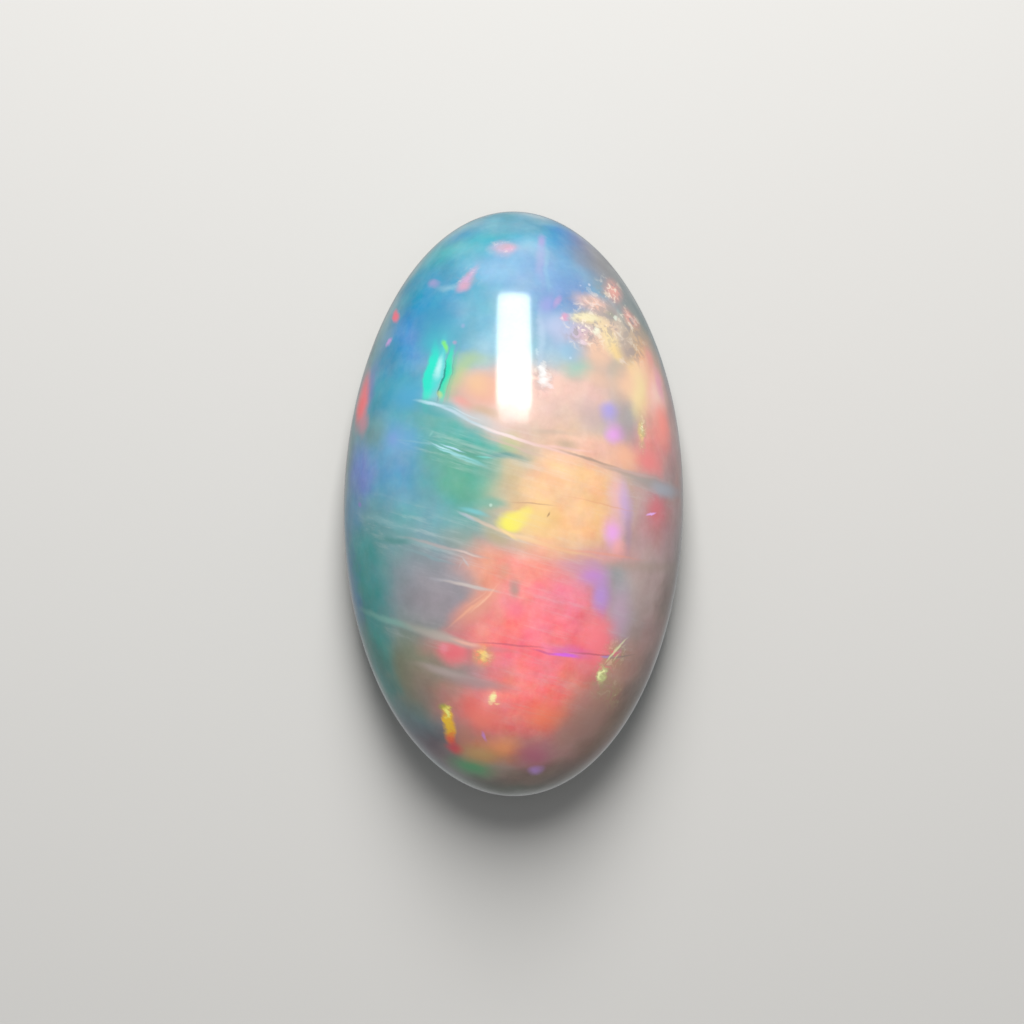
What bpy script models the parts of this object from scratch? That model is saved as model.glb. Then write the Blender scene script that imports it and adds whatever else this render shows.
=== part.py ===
"""Polished oval opal cabochon: one stone with a flat base, a rounded lower edge and a high dome.

+X is across the stone, +Y along it and +Z up; the origin is under its middle, on the base.
"""

import math

import bmesh
import bpy

# Driving dimensions, in metres
LENGTH = 0.0180
WIDTH = 0.01045
HEIGHT = 0.0066
GIRDLE_HEIGHT = 0.0013
BASE_SHARE = 0.80

# How full the dome's section is: 2 is a plain ellipse, and more is squarer at the shoulders
DOME_FULLNESS = 2.15

# A stone cut by hand is not a perfect oval: slow waves round its outline, as shares of its radius
THREE_LOBES = -0.0024
FOUR_LOBES = 0.0027

# Facets round the stone, and rows of them on the dome and on the rounded lower edge
FACETS_AROUND = 96
DOME_ROWS = 26
LOWER_ROWS = 8

# The milky body colour between the flashes, and the polish
BODY_COLOUR = (0.42, 0.55, 0.58, 1.0)
POLISH_ROUGHNESS = 0.06
OPAL_IOR = 1.45


def clear_scene():
    """Remove every object, so that the stone stands alone."""
    for thing in list(bpy.data.objects):
        bpy.data.objects.remove(thing, do_unlink=True)


def opal_material():
    """Polished opal, seen as one pale blue-green body colour."""
    opal = bpy.data.materials.new("polished_opal")
    opal.use_nodes = True
    shader = opal.node_tree.nodes["Principled BSDF"]
    shader.inputs["Base Color"].default_value = BODY_COLOUR
    shader.inputs["Roughness"].default_value = POLISH_ROUGHNESS
    shader.inputs["Metallic"].default_value = 0.0
    shader.inputs["IOR"].default_value = OPAL_IOR
    return opal


def outline_point(angle):
    """The girdle's point at this angle round the stone, counted from +X towards +Y."""
    uneven = 1 + THREE_LOBES * math.sin(3 * angle) + FOUR_LOBES * math.sin(4 * angle)
    across = WIDTH / 2 * uneven * math.cos(angle)
    along = LENGTH / 2 * uneven * math.sin(angle)
    return across, along


def section_point(row):
    """The outline's share and the height of one row, from the crown's top down to the base's edge."""
    if row <= DOME_ROWS:
        turn = math.pi / 2 * row / DOME_ROWS
        power = 2 / DOME_FULLNESS
        share = math.sin(turn) ** power
        height = GIRDLE_HEIGHT + (HEIGHT - GIRDLE_HEIGHT) * max(math.cos(turn), 0) ** power
    else:
        turn = math.pi / 2 * (row - DOME_ROWS) / LOWER_ROWS
        share = BASE_SHARE + (1 - BASE_SHARE) * math.cos(turn)
        height = GIRDLE_HEIGHT * (1 - math.sin(turn))
    return share, height


def stone_mesh():
    """A round ball whose rows are moved to the oval outline and the cabochon's section."""
    rows = DOME_ROWS + LOWER_ROWS + 1
    shape = bmesh.new()
    bmesh.ops.create_uvsphere(shape, u_segments=FACETS_AROUND, v_segments=rows, radius=1.0)
    for vertex in shape.verts:
        ball = vertex.co.copy()
        row = round(math.acos(max(-1.0, min(1.0, ball.z))) * rows / math.pi)
        if row == rows:
            vertex.co = (0.0, 0.0, 0.0)
            continue
        share, height = section_point(row)
        across, along = outline_point(math.atan2(ball.y, ball.x))
        vertex.co = (share * across, share * along, height)
    centre_on_origin(shape)
    bmesh.ops.recalc_face_normals(shape, faces=shape.faces)
    mesh = bpy.data.meshes.new("opal")
    shape.to_mesh(mesh)
    shape.free()
    mesh.shade_smooth()
    mesh.set_sharp_from_angle(angle=math.radians(40))
    return mesh


def centre_on_origin(shape):
    """Put the middle of the stone's length and width over the origin."""
    for axis in range(2):
        places = [vertex.co[axis] for vertex in shape.verts]
        middle = (min(places) + max(places)) / 2
        for vertex in shape.verts:
            vertex.co[axis] -= middle


clear_scene()
opal_cabochon = bpy.data.collections.new("opal_cabochon")
bpy.context.scene.collection.children.link(opal_cabochon)
stone = bpy.data.objects.new("opal", stone_mesh())
stone.data.materials.append(opal_material())
opal_cabochon.objects.link(stone)
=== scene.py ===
import math

import bmesh
import bpy
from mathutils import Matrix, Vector


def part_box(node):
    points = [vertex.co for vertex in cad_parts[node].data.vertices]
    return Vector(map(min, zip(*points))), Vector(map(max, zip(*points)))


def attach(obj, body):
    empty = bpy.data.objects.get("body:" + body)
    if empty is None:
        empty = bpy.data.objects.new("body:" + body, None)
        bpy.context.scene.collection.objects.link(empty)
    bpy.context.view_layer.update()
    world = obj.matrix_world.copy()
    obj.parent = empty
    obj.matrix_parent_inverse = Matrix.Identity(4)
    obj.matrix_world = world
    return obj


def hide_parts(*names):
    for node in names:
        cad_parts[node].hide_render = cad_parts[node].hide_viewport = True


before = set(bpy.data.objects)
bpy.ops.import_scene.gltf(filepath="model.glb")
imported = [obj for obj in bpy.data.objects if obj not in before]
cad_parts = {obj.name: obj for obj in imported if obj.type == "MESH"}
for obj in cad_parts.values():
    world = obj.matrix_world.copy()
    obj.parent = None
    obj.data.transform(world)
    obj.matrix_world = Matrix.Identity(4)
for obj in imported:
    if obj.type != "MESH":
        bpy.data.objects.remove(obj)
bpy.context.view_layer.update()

# The stone is one oval cabochon of precious opal. It was ground from the rough on a lap as a high dome
# over a thin girdle and a small flat base, and then polished all over, so its outline is very slightly
# uneven. Its surface is worked out here, closer than the solid's, from the solid's own box, in metres.
MM = 0.001
low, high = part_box("opal")
WIDTH = high[0] - low[0]
LENGTH = high[1] - low[1]
HEIGHT = high[2] - low[2]
GIRDLE_SHARE = 0.197
GIRDLE_HEIGHT = GIRDLE_SHARE * HEIGHT
BASE_SHARE = 0.80
DOME_FULLNESS = 2.15
THREE_LOBES = -0.0024
FOUR_LOBES = 0.0027
POINTS_AROUND = 256
DOME_ROWS = 96
LOWER_ROWS = 28


def outline_point(angle):
    """The girdle's outline at this angle: an ellipse with a trace of unevenness."""
    uneven = 1 + THREE_LOBES * math.sin(3 * angle) + FOUR_LOBES * math.sin(4 * angle)
    return WIDTH / 2 * uneven * math.cos(angle), LENGTH / 2 * uneven * math.sin(angle)


def section_point(row):
    """Share of the outline and height of a row, from the dome's top to the girdle and on to the base."""
    if row <= DOME_ROWS:
        turn = math.pi / 2 * row / DOME_ROWS
        power = 2 / DOME_FULLNESS
        share = math.sin(turn) ** power
        height = GIRDLE_HEIGHT + (HEIGHT - GIRDLE_HEIGHT) * max(math.cos(turn), 0) ** power
    else:
        turn = math.pi / 2 * (row - DOME_ROWS) / LOWER_ROWS
        share = BASE_SHARE + (1 - BASE_SHARE) * math.cos(turn)
        height = GIRDLE_HEIGHT * (1 - math.sin(turn))
    return share, height


# A ball's rows become the stone's rows. Its lowest point becomes the middle of the flat base.
rows = DOME_ROWS + LOWER_ROWS + 1
shape = bmesh.new()
bmesh.ops.create_uvsphere(shape, u_segments=POINTS_AROUND, v_segments=rows, radius=1.0)
for vertex in shape.verts:
    ball = vertex.co.copy()
    row = round(math.acos(max(-1.0, min(1.0, ball.z))) * rows / math.pi)
    if row == rows:
        vertex.co = (0.0, 0.0, 0.0)
        continue
    share, height = section_point(row)
    across, along = outline_point(math.atan2(ball.y, ball.x))
    vertex.co = (share * across, share * along, height)
for axis in range(2):
    places = [vertex.co[axis] for vertex in shape.verts]
    middle = (min(places) + max(places)) / 2
    for vertex in shape.verts:
        vertex.co[axis] -= middle

stone_mesh = bpy.data.meshes.new("opal_stone")
shape.to_mesh(stone_mesh)
shape.free()
stone_mesh.shade_smooth()
stone = bpy.data.objects.new("opal_stone", stone_mesh)
bpy.context.scene.collection.objects.link(stone)
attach(stone, "root")
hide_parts("opal")

# Precious opal shows fire: sheets and flecks of pure colour at many depths in clear, milky silica. Here
# it is the stone's own colour, laid on as soft patches in the dome, layer over layer; a few of the layers
# are painted light instead: a glint and a glow beside the long highlight, and a pale rim low on the sides.
# First come the groups that every layer is made with, each with its sockets named.
FLOAT, VECTOR, COLOUR = "NodeSocketFloat", "NodeSocketVector", "NodeSocketColor"


def new_group(name, inputs, outputs):
    """A shader node group with these sockets, and the sockets of its two ends."""
    group = bpy.data.node_groups.new(name, "ShaderNodeTree")
    for label, kind, value in inputs:
        socket = group.interface.new_socket(label, in_out="INPUT", socket_type=kind)
        if value is not None:
            socket.default_value = value
    for label, kind in outputs:
        group.interface.new_socket(label, in_out="OUTPUT", socket_type=kind)
    return group, group.nodes.new("NodeGroupInput").outputs, group.nodes.new("NodeGroupOutput").inputs


def add(tree, kind, inputs, **settings):
    """A node with these settings, whose inputs are linked to sockets or set to values."""
    node = tree.nodes.new(kind)
    for key, value in settings.items():
        setattr(node, key, value)
    for label, source in inputs.items():
        if isinstance(source, bpy.types.NodeSocket):
            tree.links.new(source, node.inputs[label])
        else:
            node.inputs[label].default_value = source
    return node


# A patch is a soft ellipsoid with these half sizes, which fades out over its edge, a share of them.
# A leaf is a patch that is turned about the upright through its centre.
PATCH_INPUTS = [
    ("Place", VECTOR, None),
    ("Centre", VECTOR, None),
    ("Size", VECTOR, None),
    ("Edge", FLOAT, 0.5),
    ("Strength", FLOAT, 1.0),
]


def fill_patch(tree, place, given, made):
    """Makes the mask of a patch from a place that already lies along the patch's own axes."""
    shrink = add(tree, "ShaderNodeVectorMath", {0: (1.0, 1.0, 1.0), 1: given["Size"]}, operation="DIVIDE")
    away = add(tree, "ShaderNodeVectorMath", {0: given["Centre"], 1: given["Size"]}, operation="DIVIDE")
    back = add(tree, "ShaderNodeVectorMath", {0: away.outputs[0], "Scale": -1.0}, operation="SCALE")
    inner = add(tree, "ShaderNodeMath", {0: 1.0, 1: given["Edge"]}, operation="SUBTRACT")
    outer = add(tree, "ShaderNodeMath", {0: 1.0, 1: given["Edge"]}, operation="ADD")
    inside = add(tree, "ShaderNodeVectorMath", {0: place, 1: shrink.outputs[0], 2: back.outputs[0]},
                 operation="MULTIPLY_ADD")
    reach = add(tree, "ShaderNodeVectorMath", {0: inside.outputs[0]}, operation="LENGTH")
    fade = add(tree, "ShaderNodeMapRange",
               {"Value": reach.outputs["Value"], "From Min": inner.outputs[0], "From Max": outer.outputs[0],
                "To Min": given["Strength"], "To Max": 0.0},
               interpolation_type="SMOOTHSTEP", clamp=False)
    tree.links.new(fade.outputs["Result"], made["Mask"])


patch, given, made = new_group("opal_patch", PATCH_INPUTS, [("Mask", FLOAT)])
fill_patch(patch, given["Place"], given, made)

leaf, given, made = new_group("opal_leaf", PATCH_INPUTS + [("Turn", FLOAT, 0.0)], [("Mask", FLOAT)])
turned_back = add(leaf, "ShaderNodeMath", {0: given["Turn"], 1: -1.0}, operation="MULTIPLY")
laid = add(leaf, "ShaderNodeVectorRotate",
           {"Vector": given["Place"], "Center": given["Centre"], "Angle": turned_back.outputs[0]},
           rotation_type="Z_AXIS")
fill_patch(leaf, laid.outputs[0], given, made)

# Clouds make the colour lighter, duller or of a neighbouring hue from spot to spot, each by a part of
# one noise. Light, Hue and Dullness say how far.
clouds, given, made = new_group(
    "opal_clouds",
    [("Place", VECTOR, None), ("Colour", COLOUR, None), ("Scale", FLOAT, 1.1), ("Hue", FLOAT, 0.06),
     ("Dullness", FLOAT, 0.5), ("Light", FLOAT, 0.55)],
    [("Colour", COLOUR)])
noise = add(clouds, "ShaderNodeTexNoise",
            {"Vector": given["Place"], "Scale": given["Scale"], "Detail": 5.0, "Roughness": 0.62})
noise_parts = add(clouds, "ShaderNodeSeparateColor", {0: noise.outputs["Color"]})
shifts = []
for part, amount, middle in ((0, "Light", 1.0), (1, "Hue", 0.5), (2, "Dullness", 1.0)):
    off = add(clouds, "ShaderNodeMath", {0: noise_parts.outputs[part], 1: 0.5}, operation="SUBTRACT")
    shifts.append(add(clouds, "ShaderNodeMath", {0: off.outputs[0], 1: given[amount], 2: middle},
                      operation="MULTIPLY_ADD"))
varied = add(clouds, "ShaderNodeHueSaturation",
             {"Value": shifts[0].outputs[0], "Hue": shifts[1].outputs[0], "Saturation": shifts[2].outputs[0],
              "Color": given["Colour"]})
clouds.links.new(varied.outputs[0], made["Colour"])

# Silk is the fine pale fibre that lies in sheets across the stone and falls to its right.
SILK_LEAN = math.radians(16)
FIBRE_LENGTH, FIBRE_BREADTH = 3.5, 0.25
silk, given, made = new_group(
    "opal_silk", [("Place", VECTOR, None), ("Strength", FLOAT, 0.5)], [("Mask", FLOAT)])
drawn_out = add(silk, "ShaderNodeMapping",
                {"Vector": given["Place"], "Rotation": (0, 0, -SILK_LEAN),
                 "Scale": (FIBRE_LENGTH, FIBRE_BREADTH, 1.0)}, vector_type="TEXTURE")
fibre = add(silk, "ShaderNodeTexNoise",
            {"Vector": drawn_out.outputs[0], "Scale": 1.0, "Detail": 4.0, "Roughness": 0.7})
lit = add(silk, "ShaderNodeMapRange",
          {"Value": fibre.outputs["Fac"], "From Min": 0.46, "From Max": 0.7, "To Max": given["Strength"]},
          interpolation_type="SMOOTHSTEP", clamp=False)
silk.links.new(lit.outputs["Result"], made["Mask"])

# Foil is fire that is broken up like crumpled foil, into dull folds, coloured faces and blown-out ridges.
foil, given, made = new_group(
    "opal_foil",
    [("Place", VECTOR, None), ("Scale", FLOAT, 3.6), ("Folds", COLOUR, None), ("Faces", COLOUR, None),
     ("Ridges", COLOUR, None)],
    [("Colour", COLOUR)])
noise = add(foil, "ShaderNodeTexNoise",
            {"Vector": given["Place"], "Scale": given["Scale"], "Detail": 3.0, "Roughness": 0.62,
             "Distortion": 0.5})
face = add(foil, "ShaderNodeMapRange", {"Value": noise.outputs["Fac"], "From Min": 0.42, "From Max": 0.5},
           interpolation_type="SMOOTHSTEP", clamp=False)
faced = add(foil, "ShaderNodeMix", {0: face.outputs[0], 6: given["Folds"], 7: given["Faces"]},
            data_type="RGBA")
ridge = add(foil, "ShaderNodeMapRange", {"Value": noise.outputs["Fac"], "From Min": 0.56, "From Max": 0.64},
            interpolation_type="SMOOTHSTEP", clamp=False)
ridged = add(foil, "ShaderNodeMix", {0: ridge.outputs[0], 6: faced.outputs[2], 7: given["Ridges"]},
             data_type="RGBA")
foil.links.new(ridged.outputs[2], made["Colour"])

# The stone's material. Each patch is placed on the photograph, in pixels of its square frame, and
# centred in the dome's surface in mm. Its colour is written as it is seen, and the light that the dome
# gets there is taken out of it. The light values are fitted to the softbox and the walls below.
opal = bpy.data.materials.new("opal")
opal.use_nodes = True
tree = opal.node_tree
body = tree.nodes["Principled BSDF"]
where = add(tree, "ShaderNodeTexCoord", {})
in_mm = add(tree, "ShaderNodeMapping", {"Vector": where.outputs["Object"], "Scale": (1 / MM, 1 / MM, 1 / MM)})

DOME_WIDTH_MM = WIDTH / MM
DOME_LENGTH_MM = LENGTH / MM
DOME_RISE_MM = (HEIGHT - GIRDLE_HEIGHT) / MM
GIRDLE_MM = GIRDLE_HEIGHT / MM
KEY_LEAN = math.radians(39)
FILL_LIGHT, KEY_LIGHT, TOP_LOSS = 0.676, 2.017, 0.593
MIDDLE_LIGHT = 1.75
FLATTEST_SHARE, STEEPEST_SHARE = 0.001, 0.985
PHOTO_WIDTH_PIXELS = 1024
STONE_PIXEL_X, STONE_PIXEL_Y = 513.45, 503.7
FRAME_WIDTH = 31.55 * MM
CAMERA_DISTANCE = 0.200


def dome_at(x, y):
    """Height in mm of the dome's surface here, and how strongly the studio lights it."""
    a, b = DOME_WIDTH_MM / 2, DOME_LENGTH_MM / 2
    share = min(max(math.hypot(x / a, y / b), FLATTEST_SHARE), STEEPEST_SHARE)
    rise = 1 - share**DOME_FULLNESS
    height = DOME_RISE_MM * rise ** (1 / DOME_FULLNESS)
    slope = -DOME_RISE_MM * rise ** (1 / DOME_FULLNESS - 1) * share ** (DOME_FULLNESS - 1)
    slope_x, slope_y = slope * x / share / a**2, slope * y / share / b**2
    up = 1 / math.sqrt(1 + slope_x**2 + slope_y**2)
    to_key = max(0, up * math.cos(KEY_LEAN) - slope_y * up * math.sin(KEY_LEAN))
    return GIRDLE_MM + height, FILL_LIGHT + KEY_LIGHT * to_key - TOP_LOSS * up


def on_dome(pixel_x, pixel_y):
    """The dome's spot in mm that the photograph shows at this pixel, and the size of a pixel there."""
    pixel_size = FRAME_WIDTH / MM / PHOTO_WIDTH_PIXELS
    x = (pixel_x - STONE_PIXEL_X) * pixel_size
    y = (STONE_PIXEL_Y - pixel_y) * pixel_size
    rise = dome_at(x, y)[0] - GIRDLE_MM
    nearer = 1 - rise / (CAMERA_DISTANCE / MM)
    return x * nearer, y * nearer, pixel_size * nearer


def own_colour(seen, light):
    """The stone's own colour where this sRGB colour is seen under this much light."""
    channels = [int(seen[k:k + 2], 16) / 255 for k in (0, 2, 4)]
    linear = [c / 12.92 if c <= 0.04045 else ((c + 0.055) / 1.055) ** 2.4 for c in channels]
    return [min(c / light, 1.0) for c in linear] + [1.0]


# Each kind of drift is a noise with this scale and detail.
BROAD_DRIFT = (0.9, 1.0)
FINE_DRIFT = (4.0, 4.0)
DRAWN_OUT = 2.5


def drifted(broad, fine):
    """A place in mm that a broad noise and a fine one, drawn out along the silk, carry off this far."""
    along_silk = add(tree, "ShaderNodeMapping",
                     {"Vector": in_mm.outputs[0], "Rotation": (0, 0, -SILK_LEAN),
                      "Scale": (DRAWN_OUT, 1.0, 1.0)}, vector_type="TEXTURE")
    place = in_mm.outputs[0]
    noises = ((in_mm.outputs[0], BROAD_DRIFT, broad), (along_silk.outputs[0], FINE_DRIFT, fine))
    for source, (scale, detail), far in noises:
        noise = add(tree, "ShaderNodeTexNoise",
                    {"Vector": source, "Scale": scale, "Detail": detail, "Roughness": 0.65})
        off = add(tree, "ShaderNodeVectorMath", {0: noise.outputs["Color"], 1: (0.5, 0.5, 0.5)},
                  operation="SUBTRACT")
        carried = add(tree, "ShaderNodeVectorMath", {0: off.outputs[0], "Scale": far}, operation="SCALE")
        moved = add(tree, "ShaderNodeVectorMath", {0: place, 1: carried.outputs[0]}, operation="ADD")
        place = moved.outputs[0]
    return place


def lay(colour, patches, broad, fine, depth, texture=None):
    """Lays patches over a colour, each in its own colour or all in one texture.

    Each patch is its pixel across and its pixel down, its half width and half length in pixels, its turn
    in degrees, soft edge, strength and, where there is no texture, its colour. Its half height is depth
    times the larger of its half sizes.
    """
    place = drifted(broad, fine)
    for pixel_x, pixel_y, wide_pixels, long_pixels, turn, edge, strength, *seen in patches:
        x, y, pixel_size = on_dome(pixel_x, pixel_y)
        half_width, half_length = wide_pixels * pixel_size, long_pixels * pixel_size
        height, light = dome_at(x, y)
        mask = add(tree, "ShaderNodeGroup", {}, node_tree=leaf if turn else patch)
        tree.links.new(place, mask.inputs["Place"])
        mask.inputs["Centre"].default_value = (x, y, height)
        mask.inputs["Size"].default_value = (half_width, half_length, depth * max(half_width, half_length))
        mask.inputs["Edge"].default_value = edge
        mask.inputs["Strength"].default_value = strength
        if turn:
            mask.inputs["Turn"].default_value = math.radians(turn)
        over = add(tree, "ShaderNodeMix", {0: mask.outputs["Mask"], 6: colour}, data_type="RGBA")
        if texture is None:
            over.inputs[7].default_value = own_colour(seen[0], light)
        else:
            tree.links.new(texture, over.inputs[7])
        colour = over.outputs[2]
    return colour


# Zones are the stone's broad fields of colour: an azure crown, teal and blue on the left, peach and amber
# in the middle, a coral heart, and brown, olive and grey at the foot. Their clouds come with them.
ZONES = [
    # The crown: azure and teal, bluer to the right, grey at the right shoulder.
    (500, 232, 160, 55, 0, 0.9, 1.0, "60c2d8"),
    (430, 258, 26, 22, 45, 0.9, 0.8, "62bcd4"),
    (409, 287, 14, 12, 40, 0.8, 0.8, "2e90bc"),
    (440, 262, 42, 24, 45, 0.9, 0.85, "66c4c8"),
    (462, 236, 22, 9, 25, 0.8, 0.6, "5aa4dc"),
    (575, 238, 46, 26, -35, 0.8, 0.9, "4b9bdc"),
    (590, 247, 18, 10, -45, 0.8, 0.7, "6e8ce1"),
    (588, 264, 16, 14, 30, 0.9, 0.7, "969ca8"),
    (606, 266, 30, 40, 35, 0.8, 0.95, "9c9a9c"),
    (634, 318, 16, 40, 28, 0.9, 0.85, "8c9292"),
    (505, 224, 44, 10, 0, 0.9, 0.8, "88c0d6"),
    (512, 272, 50, 24, 0, 0.8, 0.8, "a0caf6"),
    (530, 250, 18, 14, 0, 0.9, 0.7, "a8d0f4"),
    (562, 300, 34, 45, 0, 0.8, 0.9, "86abe0"),
    (562, 338, 26, 30, 0, 0.8, 0.8, "84bce2"),
    # Painted highlight: a pale haze right of the long highlight, the glow around it.
    (556, 348, 16, 26, 0, 0.9, 0.8, "b4d4ee"),
    (575, 366, 22, 14, 0, 0.9, 0.7, "b8d8cc"),
    # The left shoulder: deep azure that turns to sky blue.
    (425, 300, 40, 36, 0, 0.8, 0.9, "3aa2cc"),
    (448, 300, 20, 26, 0, 0.9, 0.6, "4ba4d4"),
    (468, 332, 34, 42, 0, 0.8, 0.8, "78bade"),
    (482, 352, 12, 24, 0, 0.9, 0.7, "b0dcea"),
    (404, 348, 30, 34, 0, 0.8, 0.9, "5098dc"),
    (385, 385, 26, 30, 0, 0.9, 0.8, "4aa0c0"),
    (380, 412, 24, 20, 0, 0.9, 0.8, "4c9cb8"),
    (386, 358, 12, 14, 0, 0.9, 0.8, "4496b8"),
    (408, 402, 46, 28, 0, 0.8, 0.8, "4eaccc"),
    # The left side: teal sheets with a blue flank, and green deep in the teal.
    (448, 440, 76, 44, -15, 0.6, 0.95, "6ab8b0"),
    (418, 478, 26, 18, -15, 0.9, 0.7, "76b2c4"),
    (386, 466, 36, 44, 0, 0.8, 0.85, "70a8d0"),
    (420, 500, 46, 22, 0, 0.9, 0.8, "6aa8d2"),
    (372, 432, 16, 14, 0, 0.8, 0.7, "74a0a0"),
    (360, 474, 13, 26, 0, 0.8, 0.85, "7286cc"),
    (466, 484, 42, 38, -10, 0.6, 0.95, "6cb49c"),
    (494, 456, 18, 42, -3, 0.5, 0.95, "74bcac"),
    (398, 532, 58, 34, 0, 0.8, 0.9, "6ea8ae"),
    (352, 530, 12, 40, 5, 0.8, 0.8, "5a82ae"),
    (385, 558, 38, 28, 0, 0.9, 0.9, "5a9698"),
    # The lower left: grey lilac and olive over a green flank.
    (432, 575, 48, 34, 0, 0.9, 0.9, "949ca6"),
    (468, 542, 20, 12, -15, 0.9, 0.6, "a0aa9c"),
    (446, 606, 48, 40, 0, 0.8, 0.95, "a0989f"),
    (414, 672, 40, 40, 15, 0.8, 0.95, "787a64"),
    (438, 690, 26, 24, 20, 0.9, 0.9, "8e7a6e"),
    (368, 612, 15, 78, 11, 0.8, 0.95, "34847e"),
    (372, 585, 16, 40, 5, 0.9, 0.7, "388486"),
    (368, 648, 9, 34, 16, 0.9, 0.8, "3c605c"),
    (355, 590, 6, 42, 7, 0.8, 0.8, "32698c"),
    (386, 688, 9, 44, 25, 0.9, 0.85, "2e6660"),
    (402, 738, 20, 30, 40, 0.9, 0.9, "52505a"),
    (438, 750, 24, 22, -35, 0.9, 0.9, "50444a"),
    # The upper right: peach and pink with a golden flank.
    (535, 400, 85, 32, 0, 0.6, 1.0, "f8c8b8"),
    (555, 398, 40, 20, 0, 0.9, 0.8, "fedcce"),
    (500, 425, 40, 18, -17, 0.5, 0.9, "e8c8bc"),
    (576, 425, 36, 22, 0, 0.8, 0.8, "e6cabe"),
    (456, 430, 34, 13, -20, 0.8, 0.85, "68bab6"),
    (600, 366, 28, 20, 0, 0.7, 0.8, "dcc2b2"),
    (590, 390, 24, 14, 0, 0.9, 0.7, "f8d0c4"),
    (640, 374, 20, 46, 12, 0.7, 0.95, "f8cc98"),
    (657, 408, 14, 48, 8, 0.9, 0.9, "f2a69c"),
    (648, 455, 30, 30, 0, 0.8, 0.9, "ec9890"),
    (678, 455, 10, 90, 2, 0.9, 0.95, "b08a86"),
    # The right side: amber in the middle, mauve behind its edge.
    (570, 498, 68, 60, 0, 0.5, 1.0, "fecd9e"),
    (570, 530, 50, 20, -4, 0.9, 0.8, "fec898"),
    (605, 452, 34, 14, -15, 0.7, 0.8, "fcc4ac"),
    (570, 452, 36, 10, -15, 0.9, 0.5, "f8c8b8"),
    (514, 476, 8, 26, 0, 0.9, 0.6, "dcc49c"),
    (652, 540, 34, 62, 0, 0.6, 0.95, "b89696"),
    (612, 556, 26, 9, -4, 0.9, 0.8, "eaa8a6"),
    (657, 514, 15, 28, 0, 0.9, 0.8, "cc7c82"),
    (655, 600, 38, 46, -8, 0.7, 0.95, "a69290"),
    (668, 604, 10, 50, -12, 0.9, 0.85, "68584f"),
    (646, 655, 30, 36, -16, 0.8, 0.9, "8e726c"),
    (648, 672, 9, 30, -24, 0.9, 0.8, "62504a"),
    # The heart: coral and pink.
    (534, 570, 56, 22, -6, 0.8, 1.0, "fea890"),
    (496, 580, 22, 30, 24, 0.8, 0.9, "f2a48c"),
    (546, 616, 58, 42, 0, 0.5, 1.0, "fb8e92"),
    (526, 572, 28, 10, -6, 0.9, 0.8, "fea898"),
    (488, 630, 32, 24, 20, 0.8, 0.9, "f88e8a"),
    (470, 652, 38, 15, -6, 0.8, 0.85, "ea8888"),
    (575, 600, 30, 32, 0, 0.8, 0.6, "f088a4"),
    (553, 662, 66, 46, 0, 0.55, 1.0, "f97e86"),
    (541, 712, 42, 32, 0, 0.8, 1.0, "f87e70"),
    (502, 712, 52, 32, 0, 0.7, 0.95, "ec7e78"),
    (578, 686, 24, 24, 20, 0.8, 0.8, "ea7e76"),
    # The foot: brown mauve, olive and green towards the girdle.
    (530, 768, 72, 22, 0, 0.7, 0.95, "6e5a52"),
    (496, 748, 34, 14, 0, 0.8, 0.9, "b06c50"),
    (588, 738, 50, 34, 25, 0.7, 0.95, "8a645e"),
    (598, 694, 24, 34, -25, 0.8, 0.8, "b07870"),
    (520, 790, 95, 14, 0, 0.9, 0.95, "44463c"),
    (566, 776, 38, 16, 35, 0.9, 0.9, "46423a"),
    (598, 744, 28, 11, 40, 0.9, 0.9, "58463c"),
    (540, 776, 30, 8, 8, 0.9, 0.8, "564842"),
    (612, 690, 16, 40, -30, 0.8, 0.8, "a07a6c"),
    (624, 712, 12, 36, -34, 0.9, 0.9, "564638"),
]
GROUND_SEEN, GROUND_LIGHT = "7da5aa", 1.3
ground = add(tree, "ShaderNodeRGB", {})
ground.outputs[0].default_value = own_colour(GROUND_SEEN, GROUND_LIGHT)
colour = lay(ground.outputs[0], ZONES, broad=0.55, fine=0.18, depth=1.6)
clouded = add(tree, "ShaderNodeGroup", {}, node_tree=clouds)
tree.links.new(in_mm.outputs[0], clouded.inputs["Place"])
tree.links.new(colour, clouded.inputs["Colour"])

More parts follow.
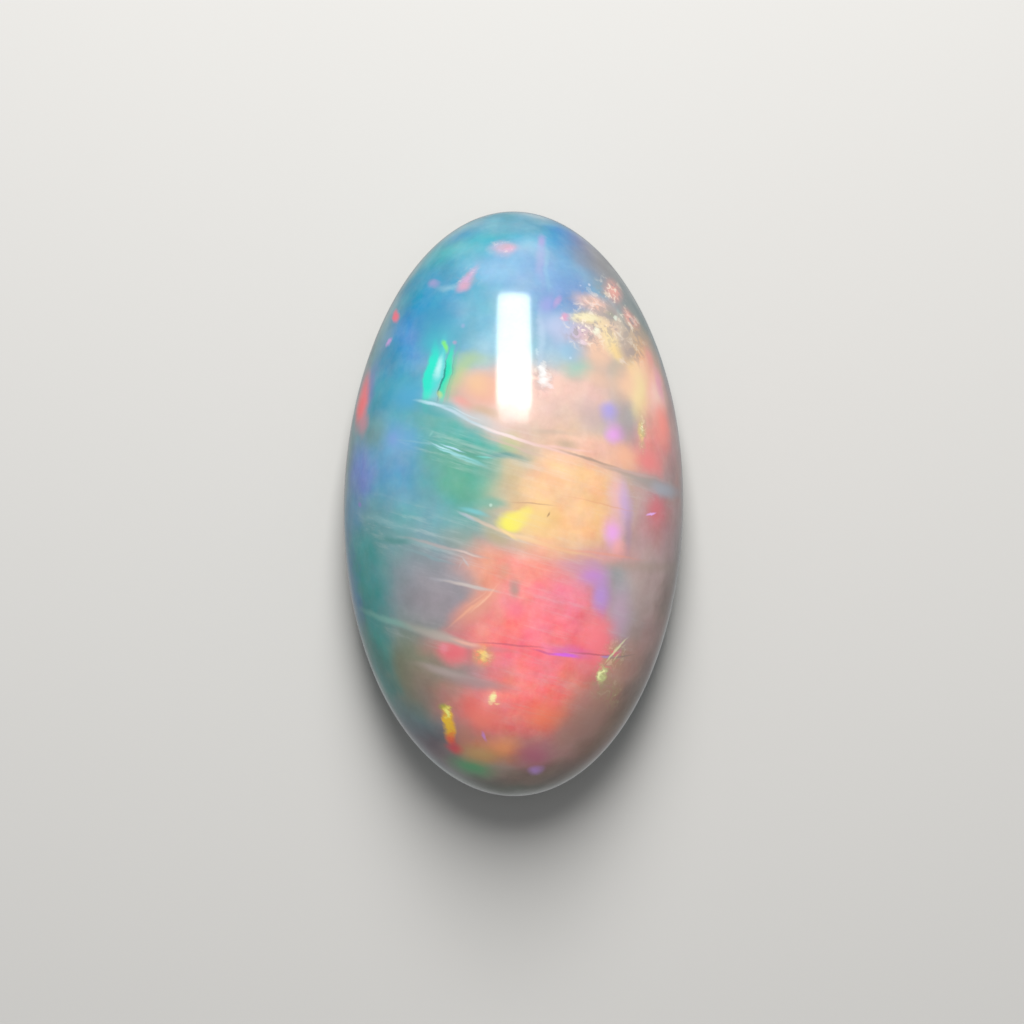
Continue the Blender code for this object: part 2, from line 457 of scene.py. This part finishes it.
# Flashes are the smaller fields, where one spot of the stone lights up in a colour of its own.
FLASHES = [
    # The crown's wisps.
    (501, 249, 11, 6.5, 0, 0.95, 0.95, "e8cce8"),
    (507, 248, 5, 5, -20, 0.95, 0.8, "f4c0d8"),
    (466, 280, 13, 4, 48, 0.9, 0.85, "e8bce0"),
    (461, 288, 6, 5, 20, 0.95, 0.8, "f0b4d0"),
    (432, 285, 7, 4, -20, 0.8, 0.7, "b8a8dc"),
    (446, 289, 9, 3, 12, 0.9, 0.6, "a8d4e8"),
    (539, 258, 4, 24, 2, 0.95, 0.45, "ccc8f6"),
    (545, 262, 2, 22, 3, 0.95, 0.4, "b0e0f4"),
    (540, 340, 3, 26, 0, 0.9, 0.5, "cce4fa"),
    (539, 240, 4, 7, 0, 0.95, 0.6, "ccb4f0"),
    (545, 303, 7, 10, -15, 0.8, 0.6, "b4b4f0"),
    (556, 300, 3, 6, -25, 0.7, 0.5, "e0b0e4"),
    (394, 316, 4, 8, 20, 0.6, 1.0, "fa7c90"),
    (386, 343, 2.2, 4, -30, 0.7, 0.9, "d2aae6"),
    (434, 318, 18, 12, 0, 0.9, 0.6, "3c9cc8"),
    # The red flash on the left flank.
    (362, 398, 6, 24, -10, 0.8, 0.95, "fa7c84"),
    (358, 408, 4, 12, -10, 0.8, 0.8, "ff7072"),
    (372, 384, 4, 20, -8, 0.8, 0.5, "8c88c8"),
    (408, 398, 24, 13, 0, 0.9, 0.8, "54b0dc"),
    (398, 438, 16, 14, 0, 0.9, 0.6, "7cb2e6"),
    (362, 424, 5, 10, 0, 0.9, 0.6, "d88c98"),
    # The green flash: upright blades that end on a line, dark seams between.
    (440, 336, 20, 14, 10, 0.9, 0.7, "4cb8d0"),
    (430, 376, 6.5, 32, -10, 0.3, 1.0, "36f0d6"),
    (438, 372, 4.5, 30, -12, 0.5, 0.85, "5ce6e4"),
    (446, 376, 4, 28, -13, 0.35, 1.0, "34e8c4"),
    (452, 376, 2, 24, -13, 0.6, 0.7, "50c8b4"),
    (432, 346, 14, 10, 0, 0.9, 0.6, "4cc4d4"),
    (441, 381, 0.9, 20, -14, 0.5, 0.85, "28968f"),
    (450, 376, 0.6, 18, -14, 0.6, 0.6, "2ca49c"),
    (438, 368, 2.6, 10, -14, 0.9, 0.8, "ccffff"),
    (445, 347, 2.6, 6, 12, 0.6, 0.95, "8cf488"),
    (439, 396, 3, 3, -16, 0.7, 0.7, "cce890"),
    (438, 410, 24, 8, -12, 0.4, 0.85, "60b4ba"),
    (458, 376, 7, 20, -28, 0.95, 0.8, "bcd89c"),
    (472, 360, 15, 7, 0, 0.95, 0.6, "bcd8a8"),
    # The peach tongue beside it.
    (486, 390, 28, 16, 0, 0.7, 0.8, "f6bca6"),
    (476, 384, 14, 9, -20, 0.95, 0.6, "fcd4a4"),
    (462, 405, 10, 5, -28, 0.8, 0.8, "fcaca4"),
    (480, 412, 18, 5, -12, 0.8, 0.7, "d8bca0"),
    # The golden leaf and the coral flank right of the crumpled fire.
    (598, 336, 30, 26, 0, 0.9, 0.7, "c4b4b4"),
    (612, 290, 8.5, 13, -12, 0.9, 0.95, "fcb8ac"),
    (594, 305, 18, 7, -20, 0.9, 0.95, "ffd0bc"),
    (608, 325, 17, 12, 0, 0.95, 0.8, "ffdcc0"),
    (586, 319, 14, 5, -5, 0.9, 0.95, "fce8b4"),
    (630, 318, 11, 5, -42, 0.9, 0.9, "f8b0a6"),
    (578, 334, 13, 10, 0, 0.9, 0.85, "e2c6da"),
    (608, 314, 7, 7, 0, 0.9, 0.7, "94a096"),
    (600, 350, 20, 17, 0, 0.9, 0.95, "fcd2b6"),
    (609, 341, 6.5, 20, 28, 0.8, 1.0, "ffe8b8"),
    (619, 372, 9, 11, 0, 0.9, 0.75, "b4b8ac"),
    (616, 354, 4.5, 10, 27, 0.6, 0.9, "ffe0a4"),
    (628, 350, 10, 12, -20, 0.9, 0.7, "b8a8a4"),
    (649, 358, 6, 9, -20, 0.9, 0.8, "f2aca4"),
    (640, 372, 9, 16, -14, 0.7, 0.8, "ffd0b4"),
    (637, 390, 9, 20, 5, 0.95, 0.95, "ffecb4"),
    (626, 384, 12, 16, 0, 0.9, 0.7, "ffceb4"),
    (656, 394, 11, 18, 0, 0.9, 0.9, "ffd6ca"),
    (658, 384, 4, 14, 10, 0.8, 0.7, "f0a8c0"),
    (662, 425, 8, 17, 6, 0.9, 0.9, "ff9c90"),
    (577, 368, 12, 8, 0, 0.95, 0.7, "a0d6c8"),
    (571, 350, 13, 10, 0, 0.9, 0.6, "94c8ec"),
    (556, 326, 15, 13, 0, 0.9, 0.8, "ccd4f4"),
    (598, 378, 18, 6, -15, 0.8, 0.6, "f4ccb4"),
    # Violet and pink lights on the right.
    (608, 411, 8, 9, 10, 0.9, 0.95, "b6aefc"),
    (614, 433, 9, 9, 25, 0.9, 0.95, "f2b0f4"),
    (592, 413, 16, 13, -20, 0.95, 0.6, "ccb4b6"),
    (622, 420, 8, 20, 8, 0.95, 0.45, "b49ca0"),
    (641, 431, 3, 9, 3, 0.6, 0.8, "f8dc94"),
    (642, 428, 1.2, 4, 0, 0.6, 1.0, "fffad2"),
    (626, 456, 14, 10, -20, 0.8, 0.8, "fcc0a0"),
    (650, 462, 16, 10, -25, 0.8, 0.8, "f68c8c"),
    (612, 532, 9, 12, 0, 0.95, 0.95, "f4b0f2"),
    (618, 547, 7, 8, 0, 0.95, 0.7, "ffb4b4"),
    (618, 498, 7, 22, 2, 0.95, 0.8, "f8c4c8"),
    (625, 503, 5, 20, 3, 0.95, 0.7, "d0b4e6"),
    (628, 530, 3, 20, 0, 0.8, 0.5, "b494b0"),
    (657, 508, 10, 10, 0, 0.9, 0.7, "dc7a84"),
    (651, 514, 6, 1.3, 8, 0.5, 1.0, "ebb4f5"),
    (586, 572, 22, 14, -10, 0.95, 0.5, "c49cb4"),
    (594, 574, 12, 9, 0, 0.95, 0.8, "cc92de"),
    (602, 597, 7, 15, 0, 0.95, 0.8, "bc98e2"),
    (578, 566, 22, 5, -8, 0.9, 0.6, "d79bb0"),
    (621, 616, 10, 26, 0, 0.8, 0.8, "c2a2b8"),
    # Yellow and green fire in the middle.
    (514, 521, 14, 9, 12, 0.5, 1.0, "fff670"),
    (524, 514, 8, 5, 20, 0.7, 0.8, "fff478"),
    (538, 520, 18, 14, 0, 0.9, 0.7, "fee294"),
    (506, 446, 8, 5, -20, 0.9, 0.7, "b0cca0"),
    (510, 440, 10, 8, -20, 0.9, 0.6, "d0d09c"),
    (503, 457, 20, 3, -2, 0.8, 0.8, "68a4a4"),
    (492, 504, 14, 5, 0, 0.8, 0.7, "7cbcac"),
    (496, 536, 12, 8, -25, 0.8, 0.6, "c4b488"),
    # Shadows and brighter spots in the coral.
    (515, 590, 4, 8, 0, 0.95, 0.7, "a89c94"),
    (506, 572, 5, 8, -20, 0.9, 0.5, "d8a48c"),
    (516, 610, 10, 8, 0, 0.9, 0.6, "ff7c98"),
    (601, 646, 16, 26, 0, 0.8, 0.9, "fa828c"),
    (565, 653, 13, 1.8, -9, 0.5, 1.0, "e270ff"),
    (568, 650, 20, 5, -9, 0.9, 0.6, "dc70c0"),
    (608, 655, 6, 1.6, -5, 0.7, 0.8, "aa82d7"),
    (476, 606, 26, 9, 42, 0.95, 0.8, "eca48c"),
    (456, 653, 15, 9, -6, 0.95, 0.9, "ec747e"),
    (446, 648, 5, 4, 0, 0.9, 0.6, "f090a0"),
    (470, 654, 4, 9, 10, 0.9, 0.5, "b47c80"),
    (483, 655, 8, 9, 0, 0.9, 0.8, "ffa868"),
    (470, 708, 10, 10, 0, 0.9, 0.7, "dc6c66"),
    (484, 720, 16, 12, 0, 0.9, 0.8, "e67c6c"),
    # The flame low on the left, and the green at the foot.
    (464, 735, 9, 16, 10, 0.8, 0.6, "a87060"),
    (450, 726, 5.5, 17, 6, 0.5, 1.0, "f8a034"),
    (446, 707, 5, 3, 0, 0.8, 0.8, "94a440"),
    (453, 740, 5, 6, 0, 0.7, 0.9, "e8503c"),
    (457, 749, 8, 6, 0, 0.8, 0.8, "a43440"),
    (487, 737, 1.6, 5, 25, 0.8, 0.8, "b07cbc"),
    (473, 768, 20, 8, -8, 0.9, 0.85, "38704c"),
    (482, 755, 18, 9, 0, 0.9, 0.7, "987e50"),
    (506, 746, 14, 8, 0, 0.9, 0.7, "e08c60"),
    (536, 756, 16, 15, 0, 0.9, 0.8, "8c4c60"),
    (538, 770, 6, 4, 0, 0.9, 0.6, "8064a8"),
    (545, 716, 16, 13, 0, 0.95, 0.8, "fc8060"),
    (590, 722, 30, 26, 30, 0.9, 0.7, "84685f"),
]
colour = lay(clouded.outputs["Colour"], FLASHES, broad=0.3, fine=0.16, depth=1.3)


# Foil lies at the right shoulder and on the crown's pink wisps. In the middle it lies over a painted
# highlight, the glint of a small light, whose jagged white it breaks up.
# Gilding is foil as well, gold on whatever colour is below it.
def foiled(scale, folds, faces, ridges):
    """A foil's colour, from colours as they are seen or from another colour of the stone."""
    crumpled = add(tree, "ShaderNodeGroup", {}, node_tree=foil)
    tree.links.new(in_mm.outputs[0], crumpled.inputs["Place"])
    crumpled.inputs["Scale"].default_value = scale
    for label, shade in (("Folds", folds), ("Faces", faces), ("Ridges", ridges)):
        if isinstance(shade, str):
            crumpled.inputs[label].default_value = own_colour(shade, MIDDLE_LIGHT)
        else:
            tree.links.new(shade, crumpled.inputs[label])
    return crumpled.outputs["Colour"]


FOIL_AND_PAINTED_GLINT = [
    (602, 318, 30, 24, -30, 0.9, 0.6),
    (611, 290, 13, 15, -20, 0.9, 0.9),
    (630, 322, 14, 12, -42, 0.9, 0.8),
    (582, 332, 16, 13, 0, 0.9, 0.8),
    (636, 350, 10, 16, -30, 0.9, 0.5),
    (502, 248, 12, 7, 0, 0.9, 0.35),
    (467, 280, 9, 12, -40, 0.9, 0.3),
    # Painted highlight: foil ridges over the glint of a small light beside the long highlight.
    (541, 376, 9, 14, -10, 0.9, 0.5),
]
crumpled = foiled(scale=3.6, folds="aca4a6", faces=colour, ridges="fff2e0")
colour = lay(colour, FOIL_AND_PAINTED_GLINT, broad=0.3, fine=0.3, depth=1.3, texture=crumpled)

GILDING = [
    (616, 654, 10, 14, -35, 0.9, 0.7),
    (602, 678, 7, 16, -10, 0.9, 0.7),
    (614, 694, 8, 14, 10, 0.9, 0.5),
    (642, 432, 4, 14, 3, 0.9, 0.7),
    (483, 656, 9, 9, 0, 0.9, 0.6),
]
gilded = foiled(scale=4.5, folds=colour, faces="d8c898", ridges="fff8c8")
colour = lay(colour, GILDING, broad=0.2, fine=0.2, depth=1.3, texture=gilded)

# Sheets are where the silk shows. Veils are its brighter and darker strands, thin upright films that
# cut through the whole dome and fall to the right.
SHEETS = [
    (448, 452, 44, 16, -15, 0.8, 0.55),
    (400, 530, 50, 22, -14, 0.9, 0.6),
    (455, 560, 50, 26, -12, 0.9, 0.5),
    (420, 632, 44, 12, -16, 0.9, 0.6),
    (470, 680, 44, 12, -12, 0.9, 0.6),
    (530, 452, 60, 16, -14, 0.9, 0.5),
    (520, 540, 50, 14, -18, 0.9, 0.5),
    (650, 490, 44, 16, -14, 0.9, 0.5),
    (625, 640, 22, 26, -40, 0.9, 0.5),
    (555, 610, 60, 60, 0, 0.9, 0.35),
    (545, 690, 55, 36, 0, 0.9, 0.35),
    (565, 490, 60, 40, 0, 0.9, 0.3),
]
SILK_SEEN, SILK_LIGHT = "dfe4e2", 1.5
fibres = add(tree, "ShaderNodeGroup", {}, node_tree=silk)
tree.links.new(in_mm.outputs[0], fibres.inputs["Place"])
pale = add(tree, "ShaderNodeMix",
           {0: fibres.outputs["Mask"], 6: colour, 7: own_colour(SILK_SEEN, SILK_LIGHT)}, data_type="RGBA")
colour = lay(colour, SHEETS, broad=0.4, fine=0.3, depth=1.3, texture=pale.outputs[2])

VEILS = [
    # The white veil that falls from the green flash to the right edge.
    (431, 404.5, 13, 1.4, -10, 0.8, 0.9, "c8f0ff"),
    (451, 411.5, 14, 1.3, -22, 0.8, 0.85, "c8e8fa"),
    (464, 414, 14, 0.7, -24, 0.7, 0.7, "e0f4ff"),
    (462, 414, 30, 7, -24, 0.95, 0.45, "c8dce8"),
    (472, 422.5, 20, 1.3, -26, 0.8, 0.85, "c8e4f0"),
    (478, 420, 22, 5, -24, 0.9, 0.4, "d8dce0"),
    (506, 435, 26, 1.5, -18, 0.7, 0.9, "fff0f0"),
    (540, 445, 34, 1.6, -16, 0.8, 0.7, "f8d4d0"),
    (512, 446, 28, 1.4, -19, 0.8, 0.6, "e1c3b9"),
    (566, 448, 20, 1.2, -8, 0.7, 0.7, "ffd2cd"),
    (566, 444, 10, 4, -8, 0.9, 0.6, "b8ae98"),
    (553, 432, 18, 2, -5, 0.9, 0.4, "cdbeaf"),
    (590, 459, 28, 1.1, -17, 0.8, 0.8, "b09c8c"),
    (620, 471, 22, 1.6, -18, 0.8, 0.7, "c0a89c"),
    (652, 483, 26, 5.5, -18, 0.9, 0.9, "a8a29e"),
    (640, 474, 24, 1.2, -14, 0.8, 0.7, "ccb0ac"),
    (664, 489, 12, 6, -12, 0.9, 0.9, "a8acb8"),
    # The bright threads in the teal.
    (441, 448, 9, 0.8, -20, 0.6, 0.9, "c8f4ff"),
    (452, 449, 11, 0.8, -21, 0.6, 0.9, "c3ebff"),
    (449, 453, 13, 0.8, -21, 0.6, 0.8, "aae8f0"),
    (460, 456, 13, 0.9, -22, 0.6, 0.8, "a8e4ec"),
    (466, 461, 13, 0.8, -22, 0.6, 0.7, "9bdcdc"),
    (474, 462, 10, 1.4, -24, 0.8, 0.6, "91d7dc"),
    (484, 458, 7, 0.9, -5, 0.7, 0.6, "8ce6dc"),
    (420, 444, 20, 1.0, -8, 0.8, 0.5, "91c3d2"),
    # The veils of the middle.
    (474, 513, 12, 2.2, -14, 0.8, 0.8, "84d0d8"),
    (468, 518, 9, 1.4, -25, 0.7, 0.7, "c3cbd8"),
    (490, 526, 18, 1.7, -22, 0.7, 0.8, "e0ccbc"),
    (508, 533, 10, 1.6, -34, 0.7, 0.9, "ffe4a0"),
    (524, 538, 24, 2.0, -18, 0.8, 0.8, "ffdcb0"),
    (560, 548, 32, 1.6, -14, 0.8, 0.6, "f8c89c"),
    (598, 553, 34, 1.2, -8, 0.8, 0.5, "f0a490"),
    (533, 504, 18, 0.8, -6, 0.7, 0.6, "c8a080"),
    (600, 503, 30, 0.7, -12, 0.7, 0.4, "ebaa82"),
    (388, 524, 22, 4, -16, 0.9, 0.6, "84b4bc"),
    (412, 541, 24, 3, -18, 0.9, 0.6, "84acb0"),
    (446, 548, 34, 1.5, -14, 0.7, 0.8, "bcb4b4"),
    (468, 554, 12, 1.0, -16, 0.7, 0.8, "e4ccc4"),
    (424, 555, 26, 1.4, -18, 0.8, 0.6, "8caab0"),
    (396, 541, 14, 3, -5, 0.8, 0.6, "4f8f8c"),
    (444, 580, 14, 1.6, -6, 0.8, 0.6, "b0b0b8"),
    (470, 586, 22, 1.6, -12, 0.7, 0.9, "d4c8c4"),
    (466, 563, 5, 0.9, -52, 0.6, 0.8, "cdc4c4"),
    (470, 610, 20, 1.2, 42, 0.9, 0.6, "f8bc9c"),
    (484, 600, 15, 1.0, 44, 0.9, 0.6, "ffccae"),
    (478, 598, 12, 0.8, 38, 0.9, 0.5, "f0b8a0"),
    (462, 565, 4, 0.7, 60, 0.6, 0.5, "c0b8b8"),
    # The lower veils.
    (390, 621, 26, 3, -17, 0.8, 0.6, "7caea4"),
    (426, 631, 20, 4, -15, 0.8, 0.8, "a4a49c"),
    (450, 640, 24, 4, -16, 0.8, 0.9, "bcb0a8"),
    (468, 644, 12, 2, -14, 0.8, 0.9, "f0b8a8"),
    (495, 650, 18, 2.5, -4, 0.8, 0.6, "dc8a90"),
    (448, 673, 24, 3.6, -14, 0.8, 0.85, "b0a09c"),
    (480, 684, 26, 5, -10, 0.9, 0.85, "b09494"),
    (512, 645, 30, 0.8, -4, 0.7, 0.6, "c86474"),
    (545, 651, 10, 1.0, -10, 0.7, 0.6, "c85f96"),
    (592, 653, 18, 0.8, -5, 0.7, 0.7, "c06070"),
    (622, 656, 12, 0.8, 5, 0.7, 0.6, "827873"),
    (644, 566, 40, 5, -3, 0.9, 0.45, "a49488"),
]
colour = lay(colour, VEILS, broad=0.16, fine=0.08, depth=60)

# Splinters are the brightest flecks, with jagged edges; the first four of them are a painted highlight, the
# jagged white glint of a small light beside the long highlight. Sparks are pinpricks, short hairs and motes.
SPLINTERS_AND_PAINTED_GLINT = [
    # Painted highlight: the jagged white glint of a small light beside the long highlight.
    (541, 369, 3, 6, -10, 0.7, 1.0, "ffffff"),
    (544, 379, 5, 6, -30, 0.7, 1.0, "ffffff"),
    (549, 385, 3, 3, 0, 0.8, 0.8, "fff4f6"),
    (536, 353, 1.6, 4, 4, 0.8, 0.5, "dcf0fc"),
    (585, 318, 12, 2.8, -4, 0.8, 0.95, "fff6d0"),
    (596, 330, 3.2, 4.5, 0, 0.7, 1.0, "ffffe8"),
    (606, 294, 3, 3, 0, 0.7, 0.9, "fff0d8"),
    (615, 318, 2.4, 2.4, 0, 0.7, 0.8, "f4fff0"),
    (583, 341, 3, 2.4, 0, 0.7, 0.8, "ffe8f4"),
    (592, 303, 10, 1.4, -28, 0.8, 0.6, "fff0e8"),
    (630, 318, 9, 1.4, -42, 0.8, 0.6, "ffe4d8"),
    (562, 317, 5, 4, 0, 0.8, 0.9, "f0b0cc"),
    (558, 318, 2, 2, 0, 0.7, 0.8, "fff0f8"),
    (622, 362, 6, 2, -20, 0.8, 0.6, "f4e4dc"),
    (602, 674, 3.5, 8, -14, 0.9, 0.8, "c8d890"),
    (602, 673, 1.8, 4, -16, 0.7, 0.9, "fcf8b8"),
    (484, 655, 3, 5, 20, 0.8, 0.8, "ffe088"),
    (493, 699, 3, 4, -20, 0.7, 0.95, "fff4b0"),
    (500, 703, 3, 1.6, -10, 0.7, 0.7, "ffd8a0"),
    (449, 721, 4, 14, 5, 0.6, 1.0, "ffb038"),
    (448, 713, 2.4, 6, 0, 0.7, 0.9, "ffec80"),
    (452, 735, 2, 6, 5, 0.8, 0.7, "fc7038"),
]
colour = lay(colour, SPLINTERS_AND_PAINTED_GLINT, broad=0.1, fine=0.6, depth=1.3)

SPARKS = [
    (588, 284, 1.6, 1.6, 0, 0.6, 0.9, "dce6fa"),
    (579, 285, 1.1, 1.1, 0, 0.6, 0.7, "c8d2f0"),
    (569, 357, 1.4, 1.2, 0, 0.6, 0.9, "c8e1fa"),
    (462, 326, 2, 2, 0, 0.8, 0.6, "aab9e6"),
    (454, 343, 2, 2, 0, 0.8, 0.7, "c4a8d0"),
    (491, 506, 1.5, 1.5, 0, 0.6, 0.9, "c8e6d7"),
    (430, 435, 3, 1.2, 60, 0.8, 0.5, "9bd2cd"),
    (549, 515, 0.9, 2.6, -25, 0.7, 0.7, "a07c5c"),
    (360, 506, 3, 2, -30, 0.8, 0.6, "9478c4"),
    (612, 654, 0.7, 8, -36, 0.8, 0.8, "d4dca4"),
    (618, 648, 0.8, 9, -42, 0.8, 0.8, "e4e4b4"),
    (623, 642, 0.6, 7, -48, 0.8, 0.6, "d8d8b4"),
    (617, 656, 0.6, 5, -40, 0.8, 0.6, "c8d0a0"),
    (392, 440, 6, 6, 0, 0.9, 0.6, "88a8e4"),
]
colour = lay(colour, SPARKS, broad=0.1, fine=0.08, depth=1.3)

# The silica turns milky low on the stone's steep sides and over its base, from a height that wavers. The
# milky grey is partly painted light as well: it lifts the dark shading on the steep sides into the pale
# rim that light shining through and off the edge gives. The same slow noise leaves the hard polish a
# little duller in places. Light sinks in a fraction of a millimetre before it comes out again.
MILK_AND_RIM_LIGHT_FROM_MM = 2.9
MILK_AND_RIM_LIGHT_STRENGTH = 0.55
MILK_AND_RIM_LIGHT_WAVER_MM = 2.0
# The milky grey, partly a painted rim light.
MILK_AND_RIM_LIGHT_COLOUR = (0.5, 0.52, 0.5, 1)
SHARPEST_POLISH, DULLEST_POLISH = 0.08, 0.16
OPAL_IOR = 1.45
SINK_SHARE = 0.25
SINK_DEPTH = 0.0004
wear = add(tree, "ShaderNodeTexNoise", {"Vector": in_mm.outputs[0], "Scale": 0.8, "Detail": 2.0})
axes = add(tree, "ShaderNodeSeparateXYZ", {0: in_mm.outputs[0]})
level = add(tree, "ShaderNodeMath", {0: wear.outputs["Fac"], 1: MILK_AND_RIM_LIGHT_WAVER_MM, 2: axes.outputs["Z"]},
            operation="MULTIPLY_ADD")
# Painted light in part: the milky grey mixed in low on the steep sides lifts their shading into a pale rim.
milk_and_rim_light = add(tree, "ShaderNodeMapRange",
           {"Value": level.outputs[0], "From Min": MILK_AND_RIM_LIGHT_FROM_MM + MILK_AND_RIM_LIGHT_WAVER_MM / 2,
            "From Max": GIRDLE_MM + MILK_AND_RIM_LIGHT_WAVER_MM / 2, "To Max": MILK_AND_RIM_LIGHT_STRENGTH},
           interpolation_type="SMOOTHSTEP", clamp=False)
milky_and_rim_lit = add(tree, "ShaderNodeMix", {0: milk_and_rim_light.outputs[0], 6: colour, 7: MILK_AND_RIM_LIGHT_COLOUR}, data_type="RGBA")
tree.links.new(milky_and_rim_lit.outputs[2], body.inputs["Base Color"])
polish = add(tree, "ShaderNodeMapRange",
             {"Value": wear.outputs["Fac"], "To Min": SHARPEST_POLISH, "To Max": DULLEST_POLISH},
             clamp=False)
tree.links.new(polish.outputs["Result"], body.inputs["Roughness"])
body.inputs["IOR"].default_value = OPAL_IOR
body.inputs["Subsurface Weight"].default_value = SINK_SHARE
body.inputs["Subsurface Radius"].default_value = (1, 1, 1)
body.inputs["Subsurface Scale"].default_value = SINK_DEPTH
stone_mesh.materials.append(opal)

# The studio's floor is one wide sheet of pale matt paper under the stone. It keeps out of the polish's
# reflections, which show the lights and the walls alone.
FLOOR_REACH = 3.0
PAPER_COLOUR = (0.43, 0.425, 0.415, 1)
PAPER_ROUGHNESS = 0.9
floor_mesh = bpy.data.meshes.new("floor")
sheet = bmesh.new()
bmesh.ops.create_grid(sheet, x_segments=1, y_segments=1, size=FLOOR_REACH)
sheet.to_mesh(floor_mesh)
sheet.free()
floor = bpy.data.objects.new("floor", floor_mesh)
bpy.context.scene.collection.objects.link(floor)
floor.visible_glossy = False
paper = bpy.data.materials.new("floor_paper")
paper.use_nodes = True
paper_body = paper.node_tree.nodes["Principled BSDF"]
paper_body.inputs["Base Color"].default_value = PAPER_COLOUR
paper_body.inputs["Roughness"].default_value = PAPER_ROUGHNESS
floor_mesh.materials.append(paper)

# The studio's light is a tall softbox beyond the crown, whose window is the long highlight on the dome.
# Its near edge is weaker and narrower, so the highlight fades there. White walls all round fill the rest.
SOFTBOX_COLOUR = (1.0, 0.99, 0.97)
WALL_COLOUR = (0.89, 0.9, 0.91, 1)
WALL_BRIGHTNESS = 0.4


def softbox(name, lean, distance, width, height, radiance):
    """An area light whose middle stands lean degrees off the vertical, towards the crown's end."""
    light = bpy.data.lights.new(name, "AREA")
    light.shape = "RECTANGLE"
    light.size = width
    light.size_y = height
    light.energy = radiance * math.pi * width * height
    light.color = SOFTBOX_COLOUR
    lamp = bpy.data.objects.new(name, light)
    way = Vector((0, math.sin(math.radians(lean)), math.cos(math.radians(lean))))
    lamp.location = way * distance + Vector((0, 0, HEIGHT / 2))
    lamp.rotation_euler = way.to_track_quat("Z", "Y").to_euler()
    bpy.context.scene.collection.objects.link(lamp)


softbox("key_softbox", lean=41.2, distance=0.110, width=0.043, height=0.0786, radiance=21.0)
softbox("key_softbox_edge", lean=19.4, distance=0.118, width=0.035, height=0.0088, radiance=11.0)
walls = bpy.data.worlds.new("studio_walls")
walls.use_nodes = True
walls.node_tree.nodes["Background"].inputs["Color"].default_value = WALL_COLOUR
walls.node_tree.nodes["Background"].inputs["Strength"].default_value = WALL_BRIGHTNESS
bpy.context.scene.world = walls

# The camera looks straight down on the stone from a hand's length above it, with the stone's crown at
# the top of the picture and its middle a hair off the picture's. The view is in plain sRGB.
AIM_X, AIM_Y = -0.0447 * MM, -0.2556 * MM
ROLL = math.radians(0.413)
SENSOR_WIDTH = 36
camera_data = bpy.data.cameras.new("camera")
camera_data.sensor_width = SENSOR_WIDTH
camera_data.lens = SENSOR_WIDTH * CAMERA_DISTANCE / FRAME_WIDTH
camera_data.clip_start = 0.01
camera_data.clip_end = 10
camera = bpy.data.objects.new("camera", camera_data)
camera.location = (AIM_X, AIM_Y, GIRDLE_HEIGHT + CAMERA_DISTANCE)
camera.rotation_euler = (0, 0, ROLL)
bpy.context.scene.collection.objects.link(camera)
bpy.context.scene.camera = camera
bpy.context.scene.view_settings.view_transform = "Standard"
